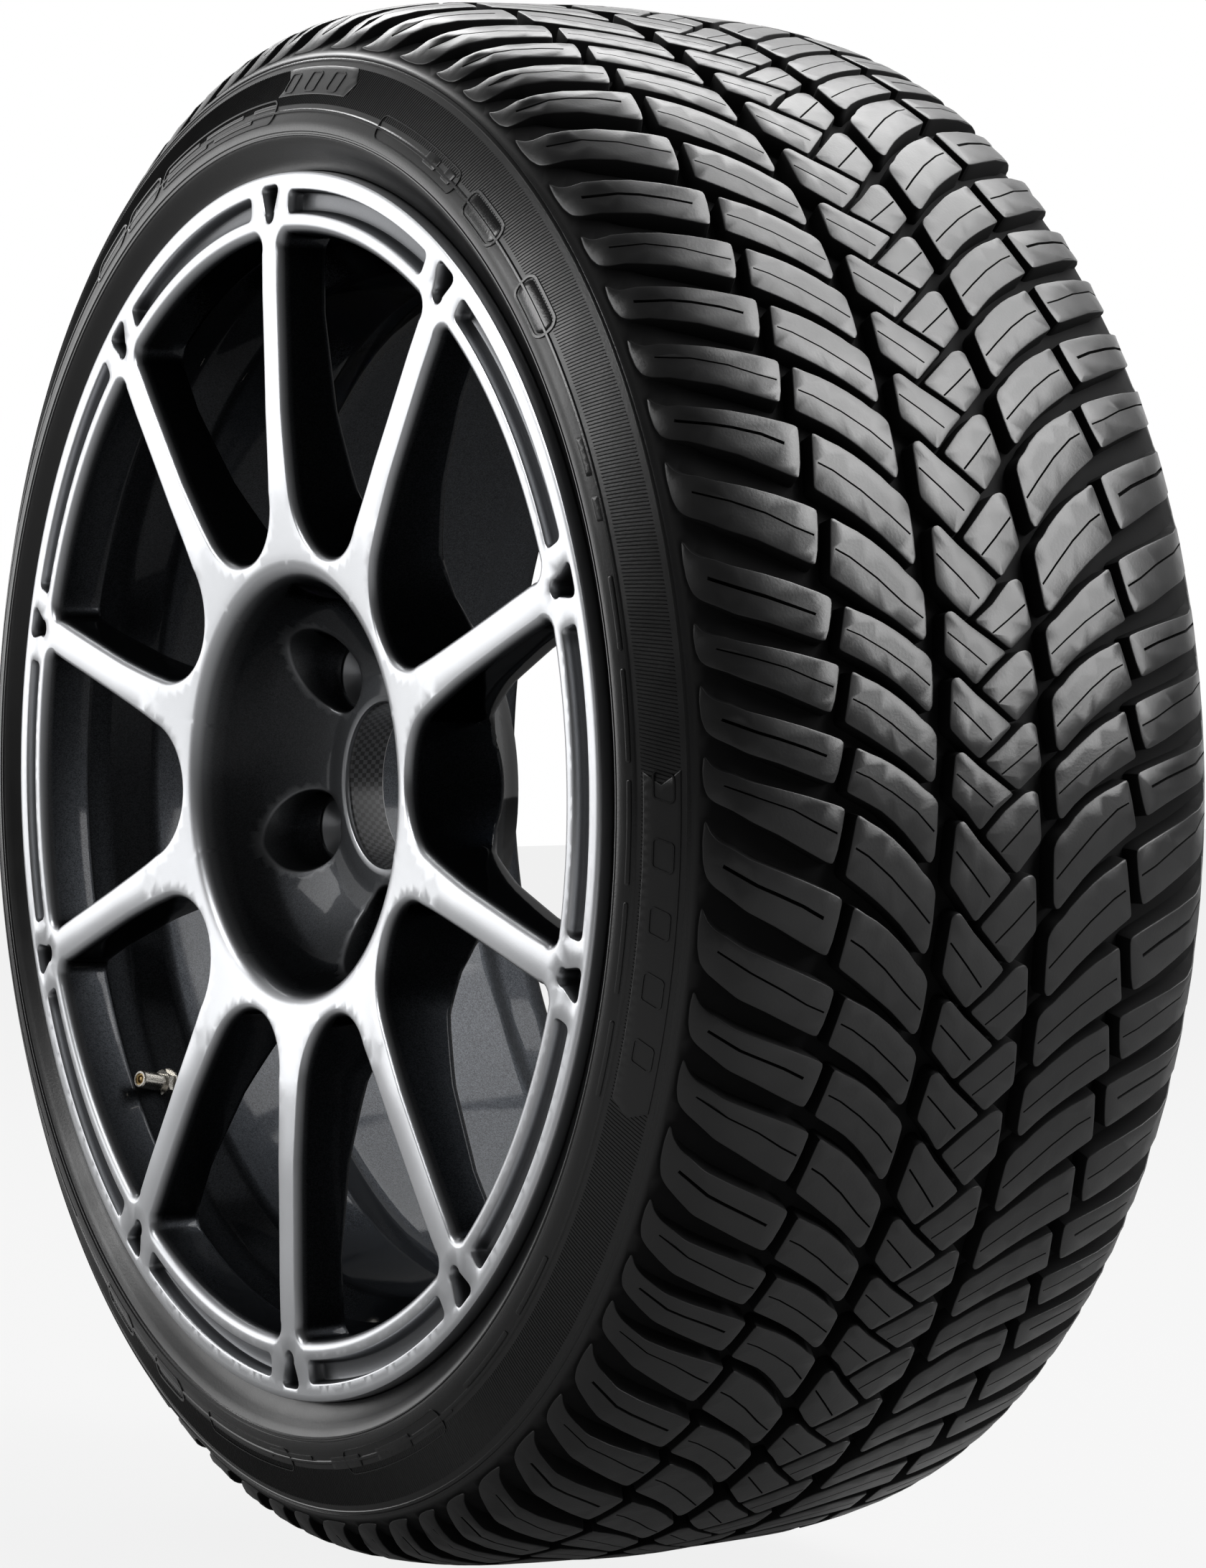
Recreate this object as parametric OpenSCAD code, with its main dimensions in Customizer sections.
/* [Tyre] */
// Outside diameter at the middle of the tread
tyre_d = 637.2; // [560:0.2:760]
// Tread width from shoulder edge to shoulder edge
tread_w = 219.8; // [190:0.2:262]
// How far the rim protector stands out past the rim's inner flange face
protector_out = 12.7; // [9:0.1:15]
// Depth of the tread grooves
groove_depth = 7.6; // [5:0.1:9]
// Rubber left under the grooves, above the air chamber
base_t = 6.5; // [5:0.1:10]
// Width of the two main circumferential grooves
main_groove_w = 6.4; // [4:0.1:8]
// Distance of a main groove from the middle of the tread
main_groove_y = 23; // [21:0.1:26]
// Turn of the tread pattern about the wheel's axis
tread_turn = 14.1; // [0:0.1:360]
// Gap between a bead of the tyre and its seat on the rim
bead_gap = 0.3; // [0.2:0.05:0.5]

/* [Rim] */
// Nominal diameter of the bead seats
rim_d = 457.2; // [381:0.1:548]
// Width between the inner faces of the flanges
rim_w = 228.6; // [190:0.1:274]
// Height of a flange above its bead seat
flange_h = 17.5; // [14:0.1:21]
// Thickness of a flange along the axle
flange_t = 10.6; // [8:0.1:12.8]
// Wall of the barrel
wall = 5.8; // [4.5:0.1:7]
// Depth of the drop centre below the bead seat
well_depth = 16.6; // [13:0.1:20]
// Length of the flat of the drop centre
well_len = 38; // [30:0.5:46]

/* [Spokes] */
// Number of spokes
spoke_n = 10; // [8:2:12]
// Angle of the first spoke from the top
spoke_turn = -1.9; // [-36:0.1:36]
// Width of a spoke's face at its narrowest
spoke_w = 12; // [10:0.1:14.4]
// Depth of a spoke near the rim
spoke_depth = 21; // [17:0.5:26]
// Radius at which the windows start beside the hub
window_in = 94.4; // [90:0.1:113]
// Corner radius of a window at the rim
window_corner = 6; // [3:0.5:9]
// Width of the band between a window and the flange
band_w = 25.1; // [21:0.1:30]
// Depth of the channel in that band
channel_depth = 6.4; // [4:0.1:8]
// Depth of the pocket in a spoke's fork
fork_depth = 11; // [8:0.5:13]

/* [Hub] */
// Distance from the middle of the rim to the mounting face
offset_et = 59; // [50:0.5:70]
// Thickness of the hub pad round the bore
pad_t = 18; // [15:0.5:21.5]
// Diameter of the mounting pad
pad_d = 155; // [150:0.5:158]
// Radius of the round dish in the face
dish_r = 82.5; // [78:0.5:86]
// Diameter of the bore in the pad that takes the centring ring
ring_seat_d = 75.1; // [70:0.1:80]
// Diameter of the vehicle's hub, which the centring ring fits
hub_bore_d = 66.6; // [57:0.1:67.1]
// Number of bolt holes
lug_n = 5; // [4:1:5]
// Pitch circle diameter of the bolt holes
lug_pcd = 112; // [108:0.1:120]
// Diameter of a bolt hole
lug_hole_d = 14.5; // [13:0.1:16]
// Diameter of the counterbore that a socket goes into
lug_pocket_d = 27; // [25:0.1:29]
// Draft of the lug pockets' sides, degrees
lug_draft = 15.8; // [12:0.1:16.5]

/* [Valve] */
// Angle of the valve from the top
valve_turn = 232.1; // [228:0.1:236]
// Tilt of the valve towards the hub
valve_tilt = 18.6; // [12:0.1:24]
// Outside diameter of the stem
stem_d = 7.7; // [7:0.05:9]
// Length of the stem outside the washer
stem_len = 16.5; // [14:0.1:20]
// Wall of the rubber sleeve between the stem and its hole in the rim
sleeve_wall = 0.6; // [0.45:0.05:1]
// Rim thickness left between the two spot faces of the valve
valve_wall = 5; // [4:0.1:6]
// Diameter of the core pin
pin_d = 1.2; // [1:0.05:1.5]
// Travel of the core pin
pin_travel = 1.2; // [0.8:0.1:1.4]

/* [Hidden] */

// Clearances: a close fit between turned parts, and a free gap between parts that move
fit = 0.03;
free = 0.2;

// Diameter of the hole for the valve
valve_hole_d = stem_d + 2 * sleeve_wall;

// Radii of the tread, the bead seat and the flange, and half the rim width
RT = tyre_d / 2;
RS = rim_d / 2;
RF = RS + flange_h;
HW = rim_w / 2;
LIP = HW + flange_t;
TW = tread_w / 2;

// A radius on the sidewall, as a share of the way from the flange to the tread
function side(f) = RF + f * (RT - RF);
// A radius inside the air chamber, as a share of the way from the flange to the liner
RI = RT - groove_depth - base_t;
function liner(f) = RF + f * (RI - RF);

// Half outline of the tyre from the middle of the tread round the bead and back to the liner
SW = HW + protector_out;
OUTER = [[RT, 0], [RT - 2.5, 64.7 / 109.9 * TW], [side(0.88), 0.878 * TW],
 [side(0.7145), TW], [side(0.658), TW + 0.19 * (SW - TW)],
 [side(0.545), TW + 0.46 * (SW - TW)], [side(0.407), TW + 0.73 * (SW - TW)], [side(0.31), TW + 0.89 * (SW - TW)],
 [side(0.247), SW], [side(0.171), SW - 0.7], [side(0.109), SW - 4.6], [side(0.054), SW - 7.2],
 [RF + bead_gap + 0.05, HW + 4.6], [RF + bead_gap, HW + 3.6], [RF - 1.8, HW + 1 - bead_gap],
 [RF - 5.1, HW - bead_gap / 2], [RS + 2.4, HW - bead_gap / 2],
 [RS + 0.8 + bead_gap / 2, HW - 0.9 - bead_gap / 2], [RS + bead_gap, HW - 2.5], [RS + bead_gap, HW - 17.5]];
INNER = [[RS + 1.2, HW - 19], [RS + 8, HW - 15.5], [RS + 17, HW - 9], [liner(0.17), HW - 1.5],
 [liner(0.31), HW + 2.8], [liner(0.51), HW + 3.2], [liner(0.72), min(HW, TW) - 2], [liner(0.87), min(HW, TW) - 10],
 [liner(0.957), 0.77 * TW], [RI, 0.5 * TW], [RI, 0]];
function mirrored(v) = [for (i = [len(v) - 1:-1:0]) if (abs(v[i][1]) > 1e-6) [v[i][0], -v[i][1]]];
HALF = concat(OUTER, INNER);

// Pitches of the tread: short, middle and long ones follow each other irregularly to break up the noise
PITCHES = "LSSSLLMMMMLLSMSLLMMLMSSLMLLMSMMLSSMLLMSLMMSSLLMLSMMLSSLMSMLLMSLMMSLSML";
function pitch_len(c) = c == "S" ? 4.3 : c == "M" ? 4.95 : 6;
PN = len(PITCHES);
RAW = [for (i = 0, s = 0; i <= PN; s = s + (i < PN ? pitch_len(PITCHES[i]) : 0), i = i + 1) s];
CUM = [for (s = RAW) s * 360 / RAW[PN]];
// Angle of a place on the tread that is counted in pitches
function at_pitch(u) = let (k = floor(u), t = floor(k / PN), j = k - t * PN)
 tread_turn + 360 * t + CUM[j] + (u - k) * (CUM[j + 1] - CUM[j]);

// The brake side's grooves follow the street side's by this much, in pitches
SHIFT = 0.557;

module turned(points) {
  rotate_extrude($fn = 240) polygon(points);
}

module main_groove(side_sign) {
  y0 = side_sign * main_groove_y;
  w = main_groove_w;
  turned([[RT - groove_depth, y0 - 0.36 * w], [RT - groove_depth, y0 + 0.36 * w], [RT + 3, y0 + 0.58 * w],
   [RT + 3, y0 - 0.58 * w]]);
}

// Turns a shape made round the Z axis so that the axle lies along +Y, with the street side at -Y
module on_axle() {
  rotate([-90, 0, 0]) children();
}

// Puts a shape made along +X at an angle from the top, seen from the street side
module at_angle(a) {
  rotate([0, 0, a - 90]) children();
}

// A straight slot across the blocks, w pitches wide. Its ends give place along the axle, pitch and floor radius
module slot(k, side_sign, from, to, w) {
  mid = at_pitch(k + (from[1] + to[1]) / 2);
  tilt = side_sign * atan2(from[2] - to[2], from[0] - to[0]);
  ym = (from[0] + to[0]) / 2;
  rotate([0, 0, mid])
    translate([0, -(from[2] + to[2]) / 2, side_sign * ym])
      rotate([90 + tilt, 0, 0])
        linear_extrude(24)
          polygon([for (p = [[from[0], from[1] - w / 2], [from[0], from[1] + w / 2],
                             [to[0], to[1] + w / 2], [to[0], to[1] - w / 2]])
            [RT * tan(at_pitch(k + p[1]) - mid), side_sign * (p[0] - ym) / cos(tilt)]]);
}

// Slots of one pitch: across a shoulder, across the rib beside it, and across the middle
module shoulder_slot(k, side_sign) {
  slot(k, side_sign, [-0.56 * TW, -0.13, RT - 2.4 - groove_depth],
   [-TW - 4, -1.08, side(0.88) - groove_depth + 1.8], 0.27);
}

module rib_slot(k, side_sign) {
  slot(k, side_sign, [-main_groove_y, 0.91, RT - groove_depth + 0.6],
   [-0.575 * TW, -0.17, RT - 1.6 - groove_depth], 0.23);
}

module middle_slot(k) {
  slot(k, 1, [-main_groove_y + 1, -0.03, RT - groove_depth + 0.9],
   [main_groove_y - 1, -0.48, RT - groove_depth + 0.9], 0.17);
}

module tyre() {
  color("#262627")
  on_axle()
  difference() {
    difference() {
      turned(concat(mirrored(INNER), mirrored(OUTER), HALF));
      for (k = [0:PN - 1]) shoulder_slot(k, 1);
      for (k = [0:PN - 1]) shoulder_slot(k + SHIFT, -1);
    }
    for (k = [0:PN - 1]) rib_slot(k, 1);
    for (k = [0:PN - 1]) rib_slot(k + SHIFT, -1);
    for (k = [0:PN - 1]) middle_slot(k);
    main_groove(-1);
    main_groove(1);
  }
}

// Radii on the face of the wheel, and places along the axle
RW = RF - band_w;
FACE = -LIP - 1;
PAD_BACK = -offset_et;
PAD_FRONT = PAD_BACK - pad_t;
RWELL = RS - well_depth;
WELL_A = -HW + flange_t + 31;
WELL_B = WELL_A + well_len;
RBAR = RS - 5;

// Half outline of the whole wheel: hub, dish, spoke face, flange, bead seats, drop centre and inner flange
FRONT = [[hub_bore_d / 2 + 0.6, PAD_FRONT + 2.2], [hub_bore_d / 2 + 0.6, PAD_FRONT + 1], [hub_bore_d / 2 + 1.6, PAD_FRONT],
 [0.56 * dish_r, PAD_FRONT - 0.4], [0.7 * dish_r, PAD_FRONT - 4.9], [0.84 * dish_r, PAD_FRONT - 12.5],
 [0.91 * dish_r, PAD_FRONT - 17], [0.952 * dish_r, PAD_FRONT - 25], [0.988 * dish_r, PAD_FRONT - 33],
 [dish_r, FACE + 11], [dish_r + 2.4, FACE + 7.4],
 [dish_r + 7.5, FACE + 6.1], [window_in + 6, FACE + 4.7], [120, FACE + 2.3], [150, FACE + 0.7], [200, FACE],
 [RW + 3, FACE + 0.9]];
BACK = [[RW + 3, FACE + spoke_depth + 3], [RW - 8, FACE + spoke_depth + 0.8], [190, FACE + spoke_depth + 0.4],
 [150, FACE + spoke_depth + 4.9], [120, FACE + spoke_depth + 12.4], [102, FACE + spoke_depth + 21.5],
 [pad_d / 2 + 9, PAD_BACK - 11], [pad_d / 2 + 1, PAD_BACK - 2], [pad_d / 2 - 1, PAD_BACK], [ring_seat_d / 2, PAD_BACK],
 [ring_seat_d / 2, PAD_FRONT + 2.2]];
BAND = [[RW, FACE + 6], [RW + 1.2, FACE + 2.6], [RW + 3.4, FACE + 0.8], [RW + 6.4, FACE + 0.5], [RF - 6, FACE + 1.2]];
FLANGE = [[RF - 5, -LIP], [RF - 1.5, -LIP], [RF, -LIP + 1.5], [RF, -HW - 3.7], [RF - 1.7, -HW - 1.1], [RF - 5.1, -HW],
 [RS + 2.4, -HW], [RS + 0.7, -HW + 0.7], [RS, -HW + 2.3], [RS, -HW + 20.3]];
HUMP = [[RS + 1.3, -HW + 22.8], [RS + 1.3, -HW + 24.8], [RS - 2.1, -HW + 27.1]];
WELL = [[RWELL + 0.5, WELL_A - 0.8], [RWELL, WELL_A + 0.4], [RWELL, WELL_B], [RBAR - 1.1, WELL_B + 20], [RBAR, WELL_B + 24],
 [RBAR, HW - 30]];
INSIDE = [[RF - 4.6, LIP], [RF - 10, HW + 5.2], [RS - 4.1, HW + 1.7], [RS - 6.6, HW - 6.3], [RS - 8.1, HW - 21],
 [RBAR - wall, HW - 28.3], [RBAR - wall, WELL_B + 25], [RBAR - wall - 1.3, WELL_B + 18], [RWELL - wall, WELL_B - 2],
 [RWELL - wall, WELL_A - 4.6], [RW, WELL_A - 4.6 - (RW - RWELL + wall)]];
function flipped(v) = [for (i = [len(v) - 1:-1:0]) [v[i][0], -v[i][1]]];
DISC = concat(FRONT, BACK);
BARREL = concat(BAND, FLANGE, HUMP, WELL, flipped(HUMP), flipped(FLANGE), INSIDE);

// Half angle between two spokes
SA = 180 / spoke_n;
// Round end of a window beside the hub, between two spokes
end_r = (window_in * sin(SA) - 0.66 * spoke_w) / (1 - sin(SA));
// Half width of a spoke's face at a distance along it
STATIONS = [[(window_in + end_r) * cos(SA), 0.69 * spoke_w], [134, 0.57 * spoke_w], [160, 0.5 * spoke_w],
 [200, 0.49 * spoke_w]];
EDGE_W = 0.58 * spoke_w;
// A place beside the spoke, seen from the middle of the window
function beside(t, w) = [t * cos(SA) + w * sin(SA), t * sin(SA) - w * cos(SA)];
// Middle of a window's corner at the rim: its arc meets the spoke and runs just past the rim's inside
CORNER = beside(sqrt(pow(RW + 0.4 - window_corner, 2) - pow(EDGE_W + window_corner, 2)), EDGE_W + window_corner);
corner_a = atan2(CORNER[1], CORNER[0]);

module window_outline() {
  start_a = 90 + SA;
  up = concat([for (s = STATIONS) beside(s[0], s[1])],
   [for (i = [0:6]) let (a = start_a - i * (start_a - corner_a) / 6) CORNER + window_corner * [cos(a), sin(a)]],
   [for (i = [0:2]) let (a = corner_a * (0.95 - 0.35 * i)) (RW + 1.2) * [cos(a), sin(a)]]);
  polygon(concat(up, [for (i = [len(up) - 1:-1:0]) [up[i][0], -up[i][1]]]));
  translate([window_in + end_r, 0]) circle(r = end_r, $fn = 64);
}

module windows() {
  for (k = [0:spoke_n - 1])
    at_angle(spoke_turn + (2 * k + 1) * SA)
      translate([0, 0, FACE - 5])
        linear_extrude(spoke_depth + 60)
          window_outline();
}

// Teardrop pocket between the two arms of a fork
module fork_pocket() {
  translate([0, 0, FACE - 1])
    linear_extrude(fork_depth + 1)
      polygon(concat([for (a = [100:20:260]) [RW + 8.8 + 3.5 * cos(a), 3.5 * sin(a)]],
       [[RF - 5.1, -7.6], [RF - 5.1, 7.6]]));
}

// Square-ended channel in the band outside a window
module channel() {
  half = SA - asin(15.2 / RW);
  translate([0, 0, FACE - 1])
    linear_extrude(channel_depth + 1)
      difference() {
        intersection() {
          circle(r = RF - 7.6, $fn = 240);
          polygon([[0, 0], [400, 400 * tan(half)], [400, -400 * tan(half)]]);
        }
        circle(r = RW + 8.2, $fn = 240);
      }
}

module lug_hole() {
  translate([lug_pcd / 2, 0, 0]) {
    translate([0, 0, FACE - 5])
      cylinder(r1 = lug_pocket_d / 2 + (PAD_BACK - 7.5 - FACE) * tan(lug_draft), r2 = lug_pocket_d / 2,
       h = PAD_BACK - 7.5 - FACE, $fn = 64);
    translate([0, 0, PAD_BACK - 12.6]) cylinder(d1 = lug_hole_d + 8, d2 = lug_hole_d, h = 6.6, $fn = 64);
    translate([0, 0, PAD_BACK - 20]) cylinder(d = lug_hole_d, h = 30, $fn = 64);
  }
}

// Kidney-shaped recess in the back of the pad between two bolt holes
module pad_recess() {
  r0 = ring_seat_d / 2 + 8;
  r1 = pad_d / 2 - 7;
  mid = (r0 + r1) / 2;
  half = 180 / lug_n - 24;
  translate([0, 0, PAD_BACK - 8])
    linear_extrude(20) {
      intersection() {
        difference() {
          circle(r = r1, $fn = 120);
          circle(r = r0, $fn = 120);
        }
        polygon([[0, 0], [200, 200 * tan(half)], [200, -200 * tan(half)]]);
      }
      for (e = [-half, half])
        rotate(e) translate([mid, 0]) circle(r = (r1 - r0) / 2 - 0.3, $fn = 48);
    }
}

// Middle of the valve's outer spot face, on the slope behind the window
VALVE_R = RW - 3.1;
VALVE_Y = WELL_A - 16.8;

// Puts a shape made along +Z on the valve's axis, with Z towards the valve's tip
module at_valve() {
  at_angle(valve_turn)
    translate([VALVE_R, 0, VALVE_Y])
      rotate([0, 180 + valve_tilt, 0])
        children();
}

module wheel() {
  color("#63676b")
  on_axle()
  difference() {
    union() {
      turned(BARREL);
      difference() {
        turned(DISC);
        windows();
      }
    }
    for (k = [0:spoke_n - 1])
      at_angle(spoke_turn + 2 * k * SA) fork_pocket();
    for (k = [0:spoke_n - 1])
      at_angle(spoke_turn + (2 * k + 1) * SA) channel();
    for (k = [0:lug_n - 1])
      at_angle(spoke_turn + 36 + k * 360 / lug_n) lug_hole();
    for (k = [0:lug_n - 1])
      at_angle(spoke_turn + 36 + (k + 0.5) * 360 / lug_n) pad_recess();
    at_valve() {
      cylinder(d = valve_hole_d, h = 60, center = true, $fn = 48);
      cylinder(d = 17, h = 14, $fn = 48);
      translate([0, 0, -valve_wall - 14]) cylinder(d = 19, h = 14, $fn = 48);
    }
  }
}

module hub_ring() {
  y0 = PAD_FRONT + 2.2 + fit;
  r0 = hub_bore_d / 2;
  r1 = ring_seat_d / 2 - fit;
  color("#2b2b2d")
  on_axle()
  turned([[r0 + 0.5, y0], [r1, y0], [r1, PAD_BACK - 0.6], [r1 - 0.6, PAD_BACK], [r0 + 0.6, PAD_BACK], [r0, PAD_BACK - 0.6],
   [r0, y0 + 0.5]]);
}

// Sizes along the valve, from the outer spot face
WASHER_T = 1;
NUT_T = 3.1;
BORE_D = 5.1;
AIR_D = 3.6;
CORE_TOP = stem_len - 0.6;
CORE_FLOOR = stem_len - 9;
SEAT = CORE_FLOOR - 2.4;
HEAD_D = 15.5;
HEAD_Z = -valve_wall - 4.6;

module valve_stem() {
  color("#c9c2ae")
  on_axle() at_valve()
  difference() {
    union() {
      translate([0, 0, HEAD_Z]) cylinder(d = stem_d, h = stem_len - HEAD_Z - 0.5, $fn = 64);
      translate([0, 0, stem_len - 0.5]) cylinder(d1 = stem_d, d2 = stem_d - 1, h = 0.5, $fn = 64);
      translate([0, 0, HEAD_Z - 2.2]) cylinder(d = HEAD_D - 1.5, h = 2.2, $fn = 64);
    }
    translate([0, 0, HEAD_Z - 3]) cylinder(d = AIR_D, h = 40, $fn = 48);
    translate([0, 0, SEAT]) cylinder(d1 = AIR_D, d2 = BORE_D, h = 1.3, $fn = 48);
    translate([0, 0, SEAT + 1.3]) cylinder(d = BORE_D, h = 40, $fn = 48);
  }
}

module valve_grommet() {
  color("#1b1b1c")
  on_axle() at_valve()
  rotate_extrude($fn = 64)
    polygon([[stem_d / 2 + fit, HEAD_Z], [HEAD_D / 2, HEAD_Z], [HEAD_D / 2, HEAD_Z + 2.6], [HEAD_D / 2 - 1, -valve_wall - fit],
     [valve_hole_d / 2 - fit, -valve_wall - fit], [valve_hole_d / 2 - fit, -0.4], [stem_d / 2 + fit, -0.4]]);
}

module valve_washer() {
  color("#8f8b80")
  on_axle() at_valve()
  difference() {
    translate([0, 0, 0]) cylinder(d = 13.4, h = WASHER_T, $fn = 64);
    translate([0, 0, -1]) cylinder(d = stem_d + 2 * free, h = WASHER_T + 2, $fn = 64);
  }
}

module valve_nut() {
  color("#b9b29c")
  on_axle() at_valve()
  difference() {
    intersection() {
      translate([0, 0, WASHER_T]) cylinder(d = 12.4, h = NUT_T, $fn = 6);
      translate([0, 0, WASHER_T]) cylinder(d1 = 15, d2 = 11.2, h = NUT_T, $fn = 64);
    }
    translate([0, 0, -1]) cylinder(d = stem_d + 2 * fit, h = 20, $fn = 64);
  }
}

// Core barrel: a cup with a hole in its floor for the pin, open at the top
module valve_core_barrel() {
  color("#b98d3f")
  on_axle() at_valve()
  rotate_extrude($fn = 48)
    polygon([[pin_d / 2 + 0.25, CORE_FLOOR], [BORE_D / 2 - 0.35, CORE_FLOOR], [BORE_D / 2 - 0.35, CORE_FLOOR + 1.6],
     [BORE_D / 2 - fit, CORE_FLOOR + 2], [BORE_D / 2 - fit, CORE_TOP], [1.75, CORE_TOP], [1.75, CORE_FLOOR + 1.4],
     [pin_d / 2 + 0.25, CORE_FLOOR + 1.4]]);
}

// Tapered ring on the barrel's foot that seals on the stem's seat
module valve_core_seal() {
  color("#d8d4c8")
  on_axle() at_valve()
  rotate_extrude($fn = 48)
    polygon([[1.4, CORE_FLOOR - 1.05], [BORE_D / 2 - 0.3, CORE_FLOOR - 0.9], [BORE_D / 2 - fit, CORE_FLOOR - 0.5],
     [BORE_D / 2 - fit, CORE_FLOOR - 0.02], [1.4, CORE_FLOOR - 0.02]]);
}

// Pin with a round head that a gauge or a pump presses
module valve_pin() {
  color("#d9d4c4")
  on_axle() at_valve()
  rotate_extrude($fn = 48)
    polygon([[0, CORE_FLOOR - 3.6], [pin_d / 2, CORE_FLOOR - 3.6], [pin_d / 2, CORE_TOP - 1.5], [1.3, CORE_TOP - 1.5],
     [1.3, CORE_TOP - 0.5], [0.95, CORE_TOP - 0.1], [0, CORE_TOP]]);
}

// Cup that closes the barrel from below and rides on the pin's foot
module valve_cup() {
  color("#b98d3f")
  on_axle() at_valve()
  rotate_extrude($fn = 48)
    polygon([[pin_d / 2 + 0.01, CORE_FLOOR - 3.4], [1.15, CORE_FLOOR - 3.4], [1.15, CORE_FLOOR - 0.15],
     [pin_d / 2 + 0.01, CORE_FLOOR - 0.15]]);
}

// Spring under the pin's head, as the sleeve that its coils fill
module valve_spring() {
  color("#a8a8a6")
  on_axle() at_valve()
  difference() {
    translate([0, 0, CORE_FLOOR + 1.42]) cylinder(r = 1.5, h = CORE_TOP - 1.52 - CORE_FLOOR - 1.42, $fn = 48);
    translate([0, 0, CORE_FLOOR]) cylinder(r = 1.1, h = 20, $fn = 48);
  }
}

tyre();
wheel();
hub_ring();
valve_stem();
valve_grommet();
valve_washer();
valve_nut();
valve_core_barrel();
valve_core_seal();
valve_pin();
valve_cup();
valve_spring();
